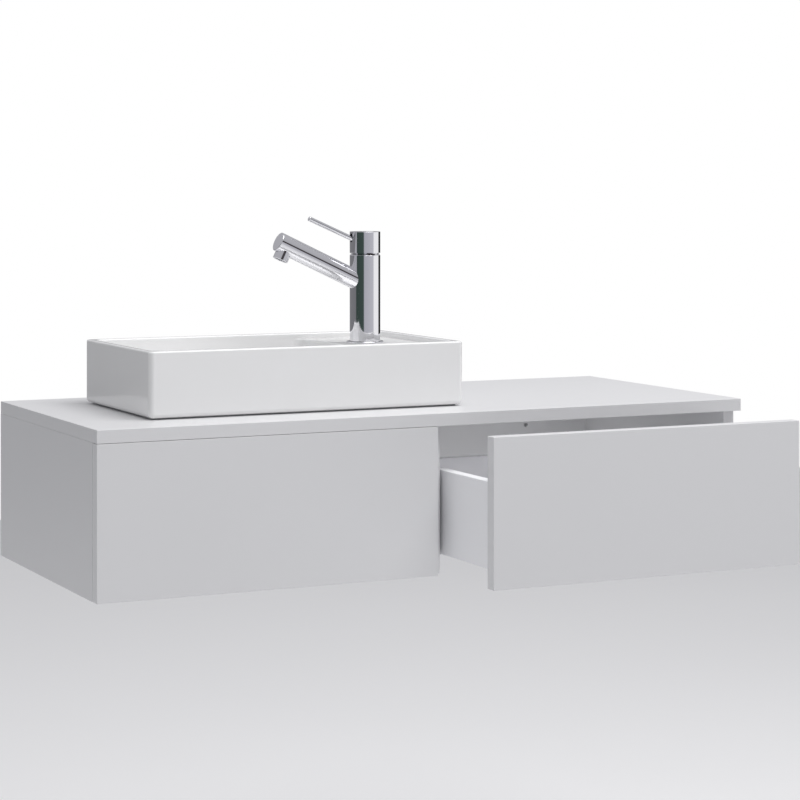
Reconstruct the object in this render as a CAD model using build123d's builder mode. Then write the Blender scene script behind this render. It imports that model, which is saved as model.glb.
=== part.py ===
from build123d import *
import os
from math import cos, radians, sin, tan

# Wall-hung bathroom vanity: an open-bottomed cabinet with two drawers, a vessel basin standing
# on its worktop and a pin-lever mixer tap on the basin's tap deck.
#
# Millimetres. X runs along the wall, the room is towards -Y and +Z is up. The back stands on the
# wall plane y = 0, x = 0 is the middle of the width, and z = 0 is the line of the wall screws.
# The right drawer is modelled pulled open, the left one closed.

os.makedirs("parts", exist_ok=True)

# ---------------------------------------------------------------- driving dimensions: carcass
cabinet_width = 1000.0
cabinet_depth = 440.0
carcass_height = 208.0  # uprights, under the worktop
board = 18.0
screw_drop = 55.0  # wall screws below the worktop's underside
hanging_rail_height = 110.0
lower_rail_height = 60.0
wall_hole_diameter = 6.5
wall_hole_spacing = 248.0  # the two holes of one hanging rail
board_edge = 0.8  # rounding of the visible board edges

# ---------------------------------------------------------------- driving dimensions: drawers
front_thickness = 18.0
front_gap = 1.3  # air between a closed front and the carcass edges
front_top_gap = 0.5  # air under the worktop
middle_reveal = 3.5  # from each front to the middle of the cabinet
side_reveal = {"left": 0.0, "right": 2.2}  # front's outer edge inside the cabinet's side
bottom_reveal = {"left": 0.0, "right": 2.4}  # front's lower edge above the carcass's
opened = {"left": 0.0, "right": 150.0}  # how far each drawer stands open
drawer_side_gap = 4.0
drawer_wall = 16.0
drawer_wall_height = 118.0
drawer_length = 290.0  # behind its front
drawer_lift = 26.0  # drawer walls above the carcass's lower edge
drawer_base = 8.0
base_groove = 6.0
groove_play = 0.1
runner_space = 14.0  # under the drawer base, between the walls
trap_bay_width = 130.0  # notch in the left drawer for the trap
trap_bay_reach = 55.0  # notch, in front of the drain's centre
bumper_diameter = 8.0
bumper_thickness = 1.0
bumper_inset = 35.0

# ---------------------------------------------------------------- driving dimensions: runners
sheet = 1.5
runner_from_wall = 24.0  # outside of the drawer member, from the bay's wall
runner_width = 20.0
runner_play = 1.0  # between nested members
runner_ledge = 3.5  # cabinet member's web, below the drawer walls
runner_flange = 13.5  # part of the cabinet member that is screwed to the upright
outer_runner_setback = 30.0  # behind the uprights' front edges
outer_runner_length = 260.0
middle_runner_length = 240.0
middle_leg = 13.5
drawer_member_length = 270.0
runner_screw_diameter = 4.0
runner_screw_head = 7.0
runner_screw_count = 3

# ---------------------------------------------------------------- driving dimensions: cam fixings
cam_diameter = 15.0
cam_depth = 12.5
cam_inset = 0.3  # cam's face under the board's
cam_to_edge = 34.0
drawer_cam_to_edge = 24.0
bolt_diameter = 7.0
bolt_reach = 11.0  # into the joined board
cam_from_front = 50.0
cam_from_wall = 80.0
hanging_rail_stagger = 22.0  # keeps the bolts of the two bays apart in the divider
lower_rail_stagger = 12.0
front_cam_from_bottom = 39.0
front_cam_from_top = 24.0
fixing_play = 0.1

# ---------------------------------------------------------------- driving dimensions: basin
basin_width = 477.0
basin_depth = 274.0
basin_height = 91.0  # ceramic alone
basin_from_left = 102.0
basin_from_front = 82.0
basin_corner = 10.0
foot_round = 8.0
rim_width = 11.0
rim_round = 3.0
basin_floor = 14.0
bowl_corner = 16.0
bowl_taper = 5.0
bowl_floor_round = 12.0
seal_thickness = 2.0
seal_inset = 9.0
seal_width = 10.0
deck_drop = 8.4  # tap deck under the rim
deck_thickness = 12.0
deck_left = 45.0  # deck's edge over the bowl, from the tap's centre
tap_from_right = 92.5
tap_hole_diameter = 35.0
drain_play = 1.0  # drain hole round the waste body
worktop_drain_play = 2.5  # worktop's hole round the waste washer
hose_hole_diameter = 50.0
hose_hole_offset = 24.5  # from the tap's centre, away from the divider

# ---------------------------------------------------------------- driving dimensions: waste
waste_diameter = 44.0
waste_wall = 3.0
flange_lip = 10.5  # beyond the waste body
flange_thickness = 2.5
flange_play = 0.3
waste_length = 75.0
waste_floor = 4.0
plug_diameter = 56.0
plug_thickness = 4.0
plug_edge = 2.8  # rounding of its rim
plug_stem_diameter = 8.0
plug_stem_end = 1.0  # left in the guide with the plug lifted
plug_lift = 8.0
guide_depth = 25.0
guide_height = 8.0
guide_hub_diameter = 15.0
guide_arm = 4.0
guide_play = 0.1
tail_diameter = 32.0
tail_wall = 1.5
tail_length = 55.0  # below the waste body
tail_collar = 3.0
tail_neck_play = 0.5  # tail's neck, inside the opening of the waste body
waste_washer_thickness = 3.0
waste_washer_lip = 7.5  # beyond the waste body
waste_nut_wall = 3.0  # from the thread to the flats
waste_nut_height = 11.0
thread_play = 0.1

# ---------------------------------------------------------------- driving dimensions: tap
tap_diameter = 45.0
tap_height = 164.0
tap_split = 131.0  # joint between body and cap, above the deck
split_gap = 0.6
split_chamfer = 1.6
base_ring_diameter = 55.0
base_ring_height = 3.0
ring_play = 0.1
inlet_diameter = 9.0  # M10x1 hose thread
inlet_depth = 14.0
inlet_mouth_diameter = 12.0  # lets the collar of a hose end in
inlet_mouth_depth = 9.0
inlet_x = 3.0
inlet_y = 11.5
channel_diameter = 6.0
stud_diameter = 8.0
stud_x = -12.0
stud_hold = 12.0
stud_length = 52.0  # below the deck's top
clamp_diameter = 48.0
clamp_opening = 35.0
clamp_opening_x = -4.0
gasket_thickness = 3.0
clamp_thickness = 2.5
clamp_nut_flats = 13.0
clamp_nut_height = 6.5
spout_diameter = 28.5
spout_wall = 3.0
spout_end = 2.5
spout_angle = 25.0
spout_rise = 86.2  # spout's axis on the column's axis, above the deck
spout_reach = 139.0
spout_channel = 15.0  # waterway through the column
saddle_play = 0.05
aerator_diameter = 22.4
aerator_drop = 9.0
aerator_flat = 20.4
aerator_flat_height = 5.0
aerator_neck = 17.0
aerator_neck_length = 7.0
aerator_bore = 16.6
aerator_recess = 1.0
aerator_insert_height = 5.0
insert_slot_count = 8
insert_slot_radius = 4.2
insert_slot = (3.3, 1.2)
aerator_from_tip = 14.5
cartridge_diameter = 35.4
chamber_diameter = 36.0
chamber_floor = 98.0  # above the deck
cartridge_nut_height = 5.5
cartridge_neck = 22.0
cartridge_neck_top = 1.6  # above the cap's lower face
cap_wall = 3.5
cap_top = 3.0
cap_floor = 1.6
cap_edge = 0.6
cut_overlap = 0.8  # by which the lever slot's cut starts inside the cap
bearing_play = 0.08
stem_diameter = 10.0
stem_socket_depth = 7.0
stem_top = 150.0
stem_slot = 5.2
stem_slot_floor = 139.0
lever_diameter = 7.0
lever_reach = 90.5  # tip from the column's axis
lever_angle = 23.5
lever_lift = 12.0
lever_axis_rise = 144.4  # lever's line on the column's axis, above the deck
lever_pivot_offset = 13.0
lever_end_round = 1.2
knuckle_diameter = 10.0
knuckle_width = 9.0
finger_diameter = 4.0
finger_length = 13.5
pivot_pin_diameter = 3.0
pivot_pin_grip = 2.0
lever_slot_width = 8.4
lever_slot_play = 0.5

# ---------------------------------------------------------------- derived levels and places
underside = screw_drop
worktop_top = underside + board
carcass_bottom = underside - carcass_height
front_plane = -cabinet_depth
carcass_front = front_plane + front_thickness + front_gap
half_width = cabinet_width / 2

drawer_bottom = carcass_bottom + drawer_lift
drawer_top = drawer_bottom + drawer_wall_height
base_bottom = drawer_bottom + runner_space
base_top = base_bottom + drawer_base
box_front = front_plane + front_thickness
box_rear = box_front + drawer_length

bays = {"left": (-half_width + board, -board / 2), "right": (board / 2, half_width - board)}
front_spans = {
    "left": (-half_width + side_reveal["left"], -middle_reveal),
    "right": (middle_reveal, half_width - side_reveal["right"]),
}

basin_x = -half_width + basin_from_left + basin_width / 2
basin_y = front_plane + basin_from_front + basin_depth / 2
basin_foot = worktop_top + seal_thickness
rim = basin_foot + basin_height
deck = rim - deck_drop
bowl_bottom = basin_foot + basin_floor
tap_x = basin_x + basin_width / 2 - tap_from_right
inner_left = basin_x - basin_width / 2 + rim_width
inner_right = basin_x + basin_width / 2 - rim_width
inner_depth = basin_depth - 2 * rim_width
bowl_right = tap_x - deck_left
drain_x = (inner_left + bowl_right) / 2

waste_radius = waste_diameter / 2
waste_inside_radius = waste_radius - waste_wall
flange_radius = waste_radius + flange_lip
washer_radius = waste_radius + waste_washer_lip
plug_stem_length = guide_depth + guide_height + plug_lift + plug_stem_end

cap_bottom = deck + tap_split + split_gap / 2
body_top = deck + tap_split - split_gap / 2
tap_top = deck + tap_height
tap_radius = tap_diameter / 2
tap_axis = Plane((tap_x, basin_y, deck))
spout_start = Vector(tap_x, basin_y, deck + spout_rise)
spout_direction = Vector(-cos(radians(spout_angle)), 0, sin(radians(spout_angle)))
spout_down = Vector(-sin(radians(spout_angle)), 0, -cos(radians(spout_angle)))
spout_length = spout_reach / cos(radians(spout_angle))
lever_pivot = Vector(
    tap_x - lever_pivot_offset,
    basin_y,
    deck + lever_axis_rise + lever_pivot_offset * tan(radians(lever_angle)),
)
lever_direction = Vector(-cos(radians(lever_angle)), 0, sin(radians(lever_angle)))
lever_length = (lever_reach - lever_pivot_offset) / cos(radians(lever_angle))


# ---------------------------------------------------------------- helpers
def block(x, y, z, mode=Mode.ADD):
    """Extrude the box between three (low, high) spans into the part being built."""
    with BuildSketch(Plane.XY.offset(z[0])) as outline:
        with Locations(((x[0] + x[1]) / 2, (y[0] + y[1]) / 2)):
            Rectangle(x[1] - x[0], y[1] - y[0])
    extrude(outline.sketch, amount=z[1] - z[0], mode=mode)


def rod(plane, radius, length, mode=Mode.ADD):
    """Extrude a circle from a plane into the part being built."""
    with BuildSketch(plane) as outline:
        Circle(radius)
    extrude(outline.sketch, amount=length, mode=mode)


def hexagon_rod(plane, flats, length):
    """Extrude a hexagon, given across its flats, into the part being built."""
    with BuildSketch(plane) as outline:
        RegularPolygon(flats / 2, 6, major_radius=False)
    extrude(outline.sketch, amount=length)


def upright_plane(x, y, z):
    """A horizontal plane at a point."""
    return Plane((x, y, z))


def inward(wall, side, near, far):
    """The (low, high) span between two distances into a bay from one of its walls."""
    ends = sorted((wall + side * near, wall + side * far))
    return (ends[0], ends[1])


def fixing(face_point, face_normal, towards, thickness):
    """A cam on a board's face and the direction in which its bolt leaves."""
    return (Plane(origin=face_point, x_dir=towards, z_dir=face_normal), thickness)


def bolt_line(frame, thickness):
    """The plane across a bolt's axis at its cam, in the middle of the board."""
    return Plane(origin=frame.origin - frame.z_dir * (thickness / 2), z_dir=frame.x_dir)


def fixing_pockets(fixings, reach):
    """The cam pockets and bolt bores of a list of fixings, as one cutting tool."""
    with BuildPart() as pockets:
        for frame, thickness in fixings:
            rod(frame, cam_diameter / 2, -cam_depth)
            rod(bolt_line(frame, thickness), bolt_diameter / 2 + fixing_play, reach + bolt_reach)
    return pockets


def cams(fixings):
    """The cam locks, each with the slot that takes its bolt."""
    with BuildPart() as locks:
        for frame, thickness in fixings:
            face = frame.offset(-cam_inset)
            rod(face, cam_diameter / 2 - fixing_play, -(cam_depth - cam_inset - fixing_play))
        for frame, thickness in fixings:
            slot = bolt_line(frame, thickness)
            rod(slot, bolt_diameter / 2 + fixing_play, cam_diameter, mode=Mode.SUBTRACT)
    return locks


def bolts(fixings, reach):
    """The bolts that the cams pull on."""
    with BuildPart() as pins:
        for frame, thickness in fixings:
            start = bolt_line(frame, thickness).offset(fixing_play)
            rod(start, bolt_diameter / 2, reach + bolt_reach - 2 * fixing_play)
    return pins


# ---------------------------------------------------------------- carcass
left_bay, right_bay = bays["left"], bays["right"]
hanging_rail_bottom = underside - hanging_rail_height
lower_rail_top = carcass_bottom + lower_rail_height
cam_level = underside - cam_to_edge
hanging_rail_middle = underside - hanging_rail_height / 2
lower_rail_middle = carcass_bottom + lower_rail_height / 2
rail_cam_levels = {
    "left": (hanging_rail_middle + hanging_rail_stagger, lower_rail_middle + lower_rail_stagger),
    "right": (hanging_rail_middle - hanging_rail_stagger, lower_rail_middle - lower_rail_stagger),
}

carcass_fixings = []
for face_x, normal in ((left_bay[0], 1), (left_bay[1], -1), (right_bay[1], -1)):
    for y in (carcass_front + cam_from_front, -cam_from_wall):
        carcass_fixings.append(fixing((face_x, y, cam_level), (normal, 0, 0), (0, 0, 1), board))
for name, bay in bays.items():
    for height in rail_cam_levels[name]:
        for x, towards in ((bay[0] + cam_to_edge, -1), (bay[1] - cam_to_edge, 1)):
            carcass_fixings.append(fixing((x, -board, height), (0, -1, 0), (towards, 0, 0), board))

carcass_pockets = fixing_pockets(carcass_fixings, cam_to_edge)

with BuildPart() as worktop:
    block((-half_width, half_width), (front_plane, 0), (underside, worktop_top))
    fillet(worktop.edges(), board_edge)
    drain_hole = upright_plane(drain_x, basin_y, underside)
    rod(drain_hole, washer_radius + worktop_drain_play, board, mode=Mode.SUBTRACT)
    hose_hole = upright_plane(tap_x - hose_hole_offset, basin_y, underside)
    rod(hose_hole, hose_hole_diameter / 2, board, mode=Mode.SUBTRACT)
    add(carcass_pockets.part, mode=Mode.SUBTRACT)


def upright(x):
    """A vertical board of the carcass, from the wall to behind the fronts."""
    with BuildPart() as panel:
        block(x, (carcass_front, 0), (carcass_bottom, underside))
        fillet(panel.edges().filter_by(Axis.Z).group_by(Axis.Y)[0], board_edge)
        add(carcass_pockets.part, mode=Mode.SUBTRACT)
    return panel


side_panel_left = upright((-half_width, left_bay[0]))
centre_divider = upright((left_bay[1], right_bay[0]))
side_panel_right = upright((right_bay[1], half_width))


def hanging_rail(bay):
    """The upper rail of one bay, with its two wall-screw holes."""
    with BuildPart() as rail:
        block(bay, (-board, 0), (hanging_rail_bottom, underside))
        wall_line = Plane(((bay[0] + bay[1]) / 2, 0, 0), x_dir=(1, 0, 0), z_dir=(0, -1, 0))
        with BuildSketch(wall_line) as holes:
            with Locations((-wall_hole_spacing / 2, 0), (wall_hole_spacing / 2, 0)):
                Circle(wall_hole_diameter / 2)
        extrude(holes.sketch, amount=board, mode=Mode.SUBTRACT)
        add(carcass_pockets.part, mode=Mode.SUBTRACT)
    return rail


def lower_rail(bay):
    """The lower rail that keeps one bay square at the wall."""
    with BuildPart() as rail:
        block(bay, (-board, 0), (carcass_bottom, lower_rail_top))
        add(carcass_pockets.part, mode=Mode.SUBTRACT)
    return rail


carcass = {
    "worktop": worktop,
    "side_panel_left": side_panel_left,
    "side_panel_right": side_panel_right,
    "centre_divider": centre_divider,
    "hanging_rail_left": hanging_rail(left_bay),
    "hanging_rail_right": hanging_rail(right_bay),
    "lower_rail_left": lower_rail(left_bay),
    "lower_rail_right": lower_rail(right_bay),
    "carcass_cam_locks": cams(carcass_fixings),
    "carcass_cam_bolts": bolts(carcass_fixings, cam_to_edge),
}

# ---------------------------------------------------------------- runners
web = (drawer_bottom - runner_ledge - sheet, drawer_bottom - runner_ledge)
member_top = base_bottom
middle_top = member_top - sheet - runner_play
hat_top = middle_top - sheet - runner_play
runner_nest = sheet + runner_play
screw_level = web[0] - runner_flange / 2
outer_runner_front = carcass_front + outer_runner_setback


def channel(x, y, z):
    """Add an inverted sheet-metal channel: a top plate with two legs."""
    block(x, y, z)
    block((x[0] + sheet, x[1] - sheet), y, (z[0], z[1] - sheet), mode=Mode.SUBTRACT)


def screw_places():
    """The Y positions of the screws along a cabinet member."""
    pitch = outer_runner_length / runner_screw_count
    first = outer_runner_front + pitch / 2
    return [first + pitch * place for place in range(runner_screw_count)]


def outer_runner(wall, side):
    """The cabinet member: a flange on the upright, a web under the drawer wall and a hat rail."""
    y = (outer_runner_front, outer_runner_front + outer_runner_length)
    near = runner_from_wall + 2 * runner_nest
    far = runner_from_wall + runner_width - 2 * runner_nest
    with BuildPart() as member:
        channel(inward(wall, side, near, far), y, (web[1], hat_top))
        block(inward(wall, side, 0, runner_from_wall + runner_width), y, web)
        block(inward(wall, side, 0, sheet), y, (web[0] - runner_flange, web[1]))
        for place in screw_places():
            hole = Plane((wall, place, screw_level), z_dir=(side, 0, 0))
            rod(hole, runner_screw_diameter / 2 + fixing_play, sheet, mode=Mode.SUBTRACT)
    return member


def middle_runner(wall, side, shift):
    """The member between cabinet and drawer, which travels half as far as the drawer."""
    start = outer_runner_front - shift
    near = runner_from_wall + runner_nest
    far = runner_from_wall + runner_width - runner_nest
    with BuildPart() as member:
        legs = (middle_top - middle_leg, middle_top)
        channel(inward(wall, side, near, far), (start, start + middle_runner_length), legs)
    return member


def drawer_runner(wall, side, shift):
    """The member screwed under the drawer base."""
    start = box_front - shift + (drawer_length - drawer_member_length) / 2
    across = inward(wall, side, runner_from_wall, runner_from_wall + runner_width)
    with BuildPart() as member:
        legs = (drawer_bottom + runner_ledge, member_top)
        channel(across, (start, start + drawer_member_length), legs)
    return member


def runner_screws():
    """The screws of all four cabinet members, with pan heads over the flanges."""
    with BuildPart() as screws:
        for bay in bays.values():
            for wall, side in ((bay[0], 1), (bay[1], -1)):
                for place in screw_places():
                    head = Plane((wall + side * sheet, place, screw_level), z_dir=(side, 0, 0))
                    rod(head, runner_screw_head / 2, sheet)
                    rod(head, runner_screw_diameter / 2, -sheet)
    return screws


# ---------------------------------------------------------------- drawers
trap_bay = (drain_x - trap_bay_width / 2, drain_x + trap_bay_width / 2)
trap_bay_outer = (trap_bay[0] - drawer_wall, trap_bay[1] + drawer_wall)
trap_bay_front = basin_y - trap_bay_reach
front_cam_levels = (drawer_bottom + front_cam_from_bottom, drawer_top - front_cam_from_top)
rear_cam_level = base_top + (drawer_top - base_top) / 2


class Drawer:
    """One drawer: its spans, where it stands and the cam fixings that hold it together."""

    def __init__(self, name):
        self.name = name
        self.shift = opened[name]
        self.bay = bays[name]
        self.outer = (self.bay[0] + drawer_side_gap, self.bay[1] - drawer_side_gap)
        self.inner = (self.outer[0] + drawer_wall, self.outer[1] - drawer_wall)
        self.y_front = box_front - self.shift
        self.y_rear = box_rear - self.shift
        self.rear_spans = self.rear_board_spans()
        self.fixings = self.list_fixings()
        self.pockets = fixing_pockets(self.fixings, drawer_cam_to_edge)

    def rear_board_spans(self):
        """The rear board's X spans: one board, or one each side of the trap bay."""
        if self.name == "left":
            return [(self.inner[0], trap_bay_outer[0]), (trap_bay_outer[1], self.inner[1])]
        return [self.inner]

    def list_fixings(self):
        """Cams in the walls for the front, and in the rear boards for the walls."""
        listed = []
        for face_x, normal in ((self.inner[0], 1), (self.inner[1], -1)):
            for level in front_cam_levels:
                point = (face_x, self.y_front + drawer_cam_to_edge, level)
                listed.append(fixing(point, (normal, 0, 0), (0, -1, 0), drawer_wall))
        face_y = self.y_rear - drawer_wall
        for span in self.rear_spans:
            for x, towards in ((span[0] + drawer_cam_to_edge, -1), (span[1] - drawer_cam_to_edge, 1)):
                point = (x, face_y, rear_cam_level)
                listed.append(fixing(point, (0, -1, 0), (towards, 0, 0), drawer_wall))
        return listed

    def front(self):
        """The visible front board, with its edges eased."""
        x = front_spans[self.name]
        z = (carcass_bottom + bottom_reveal[self.name], underside - front_top_gap)
        with BuildPart() as panel:
            block(x, (self.y_front - front_thickness, self.y_front), z)
            fillet(panel.edges(), board_edge)
            add(self.pockets.part, mode=Mode.SUBTRACT)
        return panel

    def wall(self, x):
        """A side wall, grooved on its inner face for the base."""
        groove = base_groove + groove_play
        inner_x = (x[1] - groove, x[1]) if x[0] == self.outer[0] else (x[0], x[0] + groove)
        with BuildPart() as panel:
            block(x, (self.y_front, self.y_rear), (drawer_bottom, drawer_top))
            fillet(panel.faces().sort_by(Axis.Z)[-1].edges().filter_by(Axis.Y), board_edge)
            grooved = (base_bottom - groove_play, base_top + groove_play)
            block(inner_x, (self.y_front, self.y_rear), grooved, mode=Mode.SUBTRACT)
            add(self.pockets.part, mode=Mode.SUBTRACT)
        return panel

    def rear(self):
        """The rear board or boards, standing on the base."""
        with BuildPart() as panel:
            for span in self.rear_spans:
                block(span, (self.y_rear - drawer_wall, self.y_rear), (base_top, drawer_top))
            fillet(panel.faces().group_by(Axis.Z)[-1].edges().filter_by(Axis.X), board_edge)
            add(self.pockets.part, mode=Mode.SUBTRACT)
        return panel

    def base(self):
        """The bottom board, let into the walls and notched where the trap passes."""
        x = (self.inner[0] - base_groove, self.inner[1] + base_groove)
        with BuildPart() as panel:
            block(x, (self.y_front, self.y_rear), (base_bottom, base_top))
            if self.name == "left":
                notch = (trap_bay_front, self.y_rear)
                block(trap_bay, notch, (base_bottom, base_top), mode=Mode.SUBTRACT)
        return panel

    def trap_surround(self):
        """The U of boards that keeps the drawer's contents away from the trap."""
        with BuildPart() as panel:
            y = (trap_bay_front - drawer_wall, self.y_rear)
            block(trap_bay_outer, y, (base_top, drawer_top))
            fillet(panel.faces().sort_by(Axis.Z)[-1].edges(), board_edge)
            gap = (trap_bay_front, self.y_rear)
            block(trap_bay, gap, (base_top, drawer_top), mode=Mode.SUBTRACT)
            add(self.pockets.part, mode=Mode.SUBTRACT)
        return panel

    def bumpers(self):
        """Clear stops on the back of the front, over the outer upright's edge."""
        x = half_width - board / 2
        x = -x if self.name == "left" else x
        with BuildPart() as stops:
            for level in (carcass_bottom + bumper_inset, underside - bumper_inset):
                back = Plane((x, self.y_front, level), z_dir=(0, 1, 0))
                rod(back, bumper_diameter / 2, bumper_thickness)
        return stops

    def pieces(self):
        """Every piece of the drawer and its runners, by node name."""
        own = self.name
        found = {
            f"{own}_drawer_front": self.front(),
            f"{own}_drawer_wall_left": self.wall((self.outer[0], self.inner[0])),
            f"{own}_drawer_wall_right": self.wall((self.inner[1], self.outer[1])),
            f"{own}_drawer_rear": self.rear(),
            f"{own}_drawer_base": self.base(),
            f"{own}_drawer_cam_locks": cams(self.fixings),
            f"{own}_drawer_bumpers": self.bumpers(),
        }
        if own == "left":
            found["left_drawer_trap_surround"] = self.trap_surround()
        for hand, wall, side in (("left", self.bay[0], 1), ("right", self.bay[1], -1)):
            found[f"{own}_bay_{hand}_outer_runner"] = outer_runner(wall, side)
            found[f"{own}_bay_{hand}_middle_runner"] = middle_runner(wall, side, self.shift / 2)
            found[f"{own}_bay_{hand}_drawer_runner"] = drawer_runner(wall, side, self.shift)
        return found


left_drawer = Drawer("left")
right_drawer = Drawer("right")

# ---------------------------------------------------------------- basin
with BuildPart() as basin:
    with BuildSketch(Plane.XY.offset(basin_foot)):
        with Locations((basin_x, basin_y)):
            RectangleRounded(basin_width, basin_depth, basin_corner)
    extrude(amount=basin_height)
    fillet(basin.faces().sort_by(Axis.Z)[0].edges(), foot_round)
    with BuildSketch(Plane.XY.offset(deck)):
        with Locations(((inner_left + inner_right) / 2, basin_y)):
            RectangleRounded(inner_right - inner_left, inner_depth, bowl_corner)
    extrude(amount=deck_drop, mode=Mode.SUBTRACT)
    with BuildSketch(Plane.XY.offset(deck)):
        with Locations(((inner_left + bowl_right) / 2, basin_y)):
            RectangleRounded(bowl_right - inner_left, inner_depth, bowl_corner)
    extrude(amount=bowl_bottom - deck, taper=bowl_taper, mode=Mode.SUBTRACT)
    level = (bowl_bottom - seal_thickness, bowl_bottom + seal_thickness)
    bowl_floor = basin.faces().filter_by(Plane.XY).filter_by_position(Axis.Z, *level)
    fillet(bowl_floor.edges(), bowl_floor_round)
    fillet(basin.faces().sort_by(Axis.Z)[-1].edges(), rim_round)
    hollow_x = (bowl_right + rim_width, inner_right)
    hollow_y = (basin_y - inner_depth / 2, basin_y + inner_depth / 2)
    block(hollow_x, hollow_y, (basin_foot, deck - deck_thickness), mode=Mode.SUBTRACT)
    tap_hole = upright_plane(tap_x, basin_y, deck)
    rod(tap_hole, tap_hole_diameter / 2, -deck_thickness, mode=Mode.SUBTRACT)
    drain = upright_plane(drain_x, basin_y, bowl_bottom)
    rod(drain, waste_radius + drain_play, -basin_floor, mode=Mode.SUBTRACT)
    rod(drain, flange_radius + flange_play, -flange_thickness, mode=Mode.SUBTRACT)

with BuildPart() as basin_seal:
    seal_outer = 2 * seal_inset
    seal_inner = 2 * (seal_inset + seal_width)
    with BuildSketch(Plane.XY.offset(worktop_top)):
        with Locations((basin_x, basin_y)):
            Rectangle(basin_width - seal_outer, basin_depth - seal_outer)
            Rectangle(basin_width - seal_inner, basin_depth - seal_inner, mode=Mode.SUBTRACT)
    extrude(amount=seal_thickness)

# ---------------------------------------------------------------- waste
waste_top = bowl_bottom
waste_bottom = waste_top - waste_length
tail_radius = tail_diameter / 2
guide_top = waste_top - guide_depth

with BuildPart() as waste_body:
    mouth = upright_plane(drain_x, basin_y, waste_top)
    rod(mouth, flange_radius, -flange_thickness)
    rod(mouth, waste_radius, -waste_length)
    rod(mouth, waste_inside_radius, -(waste_length - waste_floor), mode=Mode.SUBTRACT)
    opening = upright_plane(drain_x, basin_y, waste_bottom)
    rod(opening, tail_radius + thread_play, waste_floor, mode=Mode.SUBTRACT)
    guide = (guide_top - guide_height, guide_top)
    arm_end = (waste_inside_radius + waste_radius) / 2
    arm_half = guide_arm / 2
    arm_y = (basin_y - arm_half, basin_y + arm_half)
    block((drain_x - arm_end, drain_x + arm_end), arm_y, guide)
    hub = upright_plane(drain_x, basin_y, guide[0])
    rod(hub, guide_hub_diameter / 2, guide_height)
    rod(hub, plug_stem_diameter / 2 + guide_play, guide_height, mode=Mode.SUBTRACT)

with BuildPart() as waste_plug:
    rod(mouth, plug_diameter / 2, plug_thickness)
    fillet(waste_plug.faces().sort_by(Axis.Z)[-1].edges(), plug_edge)
    rod(mouth, plug_stem_diameter / 2, -plug_stem_length)

with BuildPart() as waste_washer:
    washer_top = upright_plane(drain_x, basin_y, basin_foot)
    rod(washer_top, washer_radius, -waste_washer_thickness)
    rod(washer_top, waste_radius + thread_play, -waste_washer_thickness, mode=Mode.SUBTRACT)

with BuildPart() as waste_nut:
    nut_top = upright_plane(drain_x, basin_y, basin_foot - waste_washer_thickness)
    hexagon_rod(nut_top, waste_diameter + 2 * waste_nut_wall, -waste_nut_height)
    rod(nut_top, waste_radius + thread_play, -waste_nut_height, mode=Mode.SUBTRACT)

with BuildPart() as waste_tail:
    collar_top = upright_plane(drain_x, basin_y, waste_bottom + waste_floor + tail_collar)
    neck = tail_collar + waste_floor
    rod(collar_top, waste_inside_radius - thread_play, -tail_collar)
    rod(collar_top, tail_radius - tail_neck_play, -neck)
    rod(opening, tail_radius, -tail_length)
    rod(collar_top, tail_radius - tail_wall, -(neck + tail_length), mode=Mode.SUBTRACT)

# ---------------------------------------------------------------- tap: body, spout and outlet
stud_place = upright_plane(tap_x + stud_x, basin_y, deck)
inlets = [upright_plane(tap_x + inlet_x, basin_y + side * inlet_y, deck) for side in (-1, 1)]
spout_axis = Plane(origin=spout_start, z_dir=spout_direction)
chamber_bottom = deck + chamber_floor

with BuildPart() as tap_base_ring:
    rod(tap_axis, base_ring_diameter / 2, base_ring_height)
    fillet(tap_base_ring.faces().sort_by(Axis.Z)[-1].edges(), base_ring_height / 3)
    rod(tap_axis, tap_radius + ring_play, base_ring_height, mode=Mode.SUBTRACT)

with BuildPart() as tap_body:
    rod(tap_axis, tap_radius, body_top - deck)
    chamfer(tap_body.faces().sort_by(Axis.Z)[-1].edges(), split_chamfer)
    chamber = upright_plane(tap_x, basin_y, chamber_bottom)
    rod(chamber, chamber_diameter / 2, body_top - chamber_bottom, mode=Mode.SUBTRACT)
    rod(spout_axis, spout_channel / 2, tap_diameter, mode=Mode.SUBTRACT)
    rod(chamber, channel_diameter / 2, -(chamber_floor - spout_rise), mode=Mode.SUBTRACT)
    for inlet in inlets:
        rod(inlet, inlet_mouth_diameter / 2, inlet_mouth_depth, mode=Mode.SUBTRACT)
        rod(inlet, inlet_diameter / 2, inlet_mouth_depth + inlet_depth, mode=Mode.SUBTRACT)
        rod(inlet, channel_diameter / 2, chamber_floor, mode=Mode.SUBTRACT)
    rod(stud_place, stud_diameter / 2 + fixing_play, stud_hold + fixing_play, mode=Mode.SUBTRACT)

with BuildPart() as tap_spout:
    rod(spout_axis, spout_diameter / 2, spout_length)
    fillet(tap_spout.faces().sort_by(Axis.X)[0].edges(), cap_edge)
    rod(spout_axis, spout_diameter / 2 - spout_wall, spout_length - spout_end, mode=Mode.SUBTRACT)
    rod(tap_axis, tap_radius + saddle_play, tap_height, mode=Mode.SUBTRACT)
    aerator_centre = spout_start + spout_direction * (spout_length - aerator_from_tip)
    aerator_axis = Plane(origin=aerator_centre, x_dir=spout_direction, z_dir=spout_down)
    rod(aerator_axis, aerator_neck / 2 + thread_play, spout_diameter, mode=Mode.SUBTRACT)

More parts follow.
